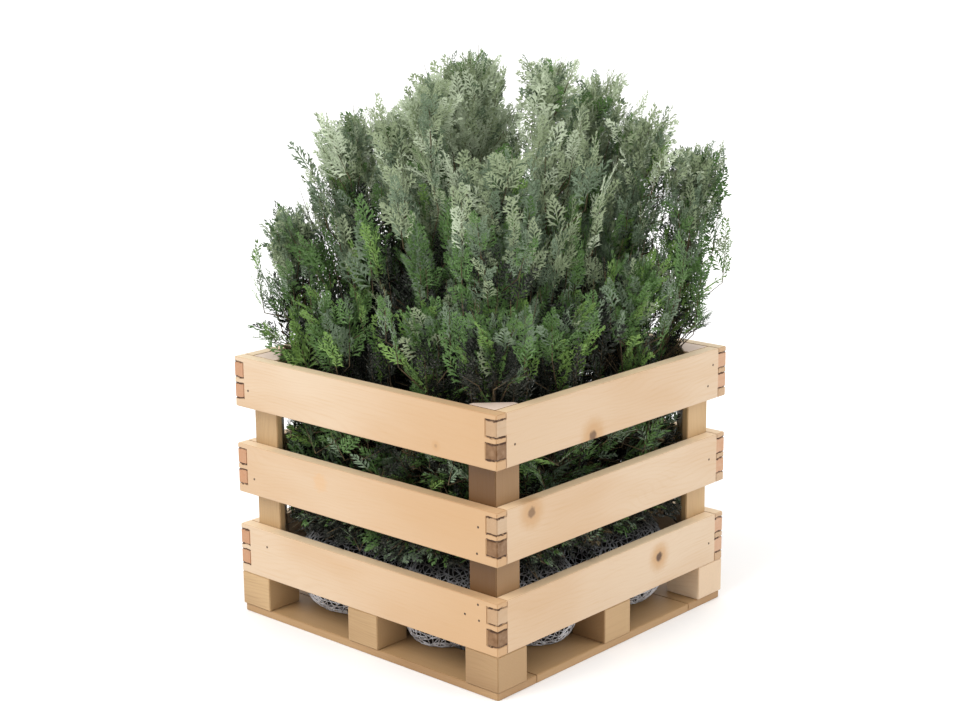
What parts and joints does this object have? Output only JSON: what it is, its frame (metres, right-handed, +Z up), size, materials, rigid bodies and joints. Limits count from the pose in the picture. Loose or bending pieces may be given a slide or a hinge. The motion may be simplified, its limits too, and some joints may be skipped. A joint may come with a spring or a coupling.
{
  "type": "potted columnar lawson cypress",
  "caption": "Dense columnar evergreen of upright feathery sprays on a clump of stems, growing from a net-wrapped root ball inside a square slatted pine crate.",
  "frame": {"origin": "on the ground at the middle of the crate's underside", "axes": "+Z up, -Y the crate's front, the left of the two faces that the picture shows, and +X its right side"},
  "size_m": [0.65, 0.65, 1.052],
  "materials": {
    "pine": "planed pale pine, bare, low sheen",
    "pine_dark": "sawn pine, darker and rougher",
    "root_ball": "dark compost and roots in a grey cord net",
    "bark": "thin red-brown bark, shallow ridges",
    "foliage": "soft grey-green to fresh green scale leaves, matt"
  },
  "bodies": {
    "root": {"front_board_1": "pine", "front_board_2": "pine", "front_board_3": "pine", "front_middle_block": "pine", "right_board_1": "pine", "right_board_2": "pine", "right_board_3": "pine", "right_middle_block": "pine", "back_board_1": "pine", "back_board_2": "pine", "back_board_3": "pine", "back_middle_block": "pine", "left_board_1": "pine", "left_board_2": "pine", "left_board_3": "pine", "left_middle_block": "pine", "front_left_corner_block": "pine", "front_left_post": "pine_dark", "front_right_corner_block": "pine", "front_right_post": "pine_dark", "back_right_corner_block": "pine", "back_right_post": "pine_dark", "back_left_corner_block": "pine", "back_left_post": "pine_dark", "base_front": "pine_dark", "base_back": "pine_dark", "base_left": "pine_dark", "base_right": "pine_dark", "base_centre": "pine_dark", "root_ball": "root_ball", "trunk": "bark", "stem_front": "bark", "stem_front_right": "bark", "stem_right": "bark", "stem_back_right": "bark", "stem_back": "bark", "stem_back_left": "bark", "stem_left": "bark", "stem_front_left": "bark", "crown_top": "foliage", "column_front": "foliage", "column_front_right": "foliage", "column_right": "foliage", "column_back_right": "foliage", "column_back": "foliage", "column_back_left": "foliage", "column_left": "foliage", "column_front_left": "foliage", "skirt_corner_front_left": "foliage", "skirt_corner_front_right": "foliage", "skirt_corner_back_right": "foliage", "skirt_corner_back_left": "foliage", "skirt_front_side": "foliage", "skirt_front_low": "foliage", "skirt_right_side": "foliage", "skirt_right_low": "foliage", "skirt_back_side": "foliage", "skirt_left_side": "foliage", "inner_front": "foliage", "inner_back": "foliage"}
  },
  "joints": []
}
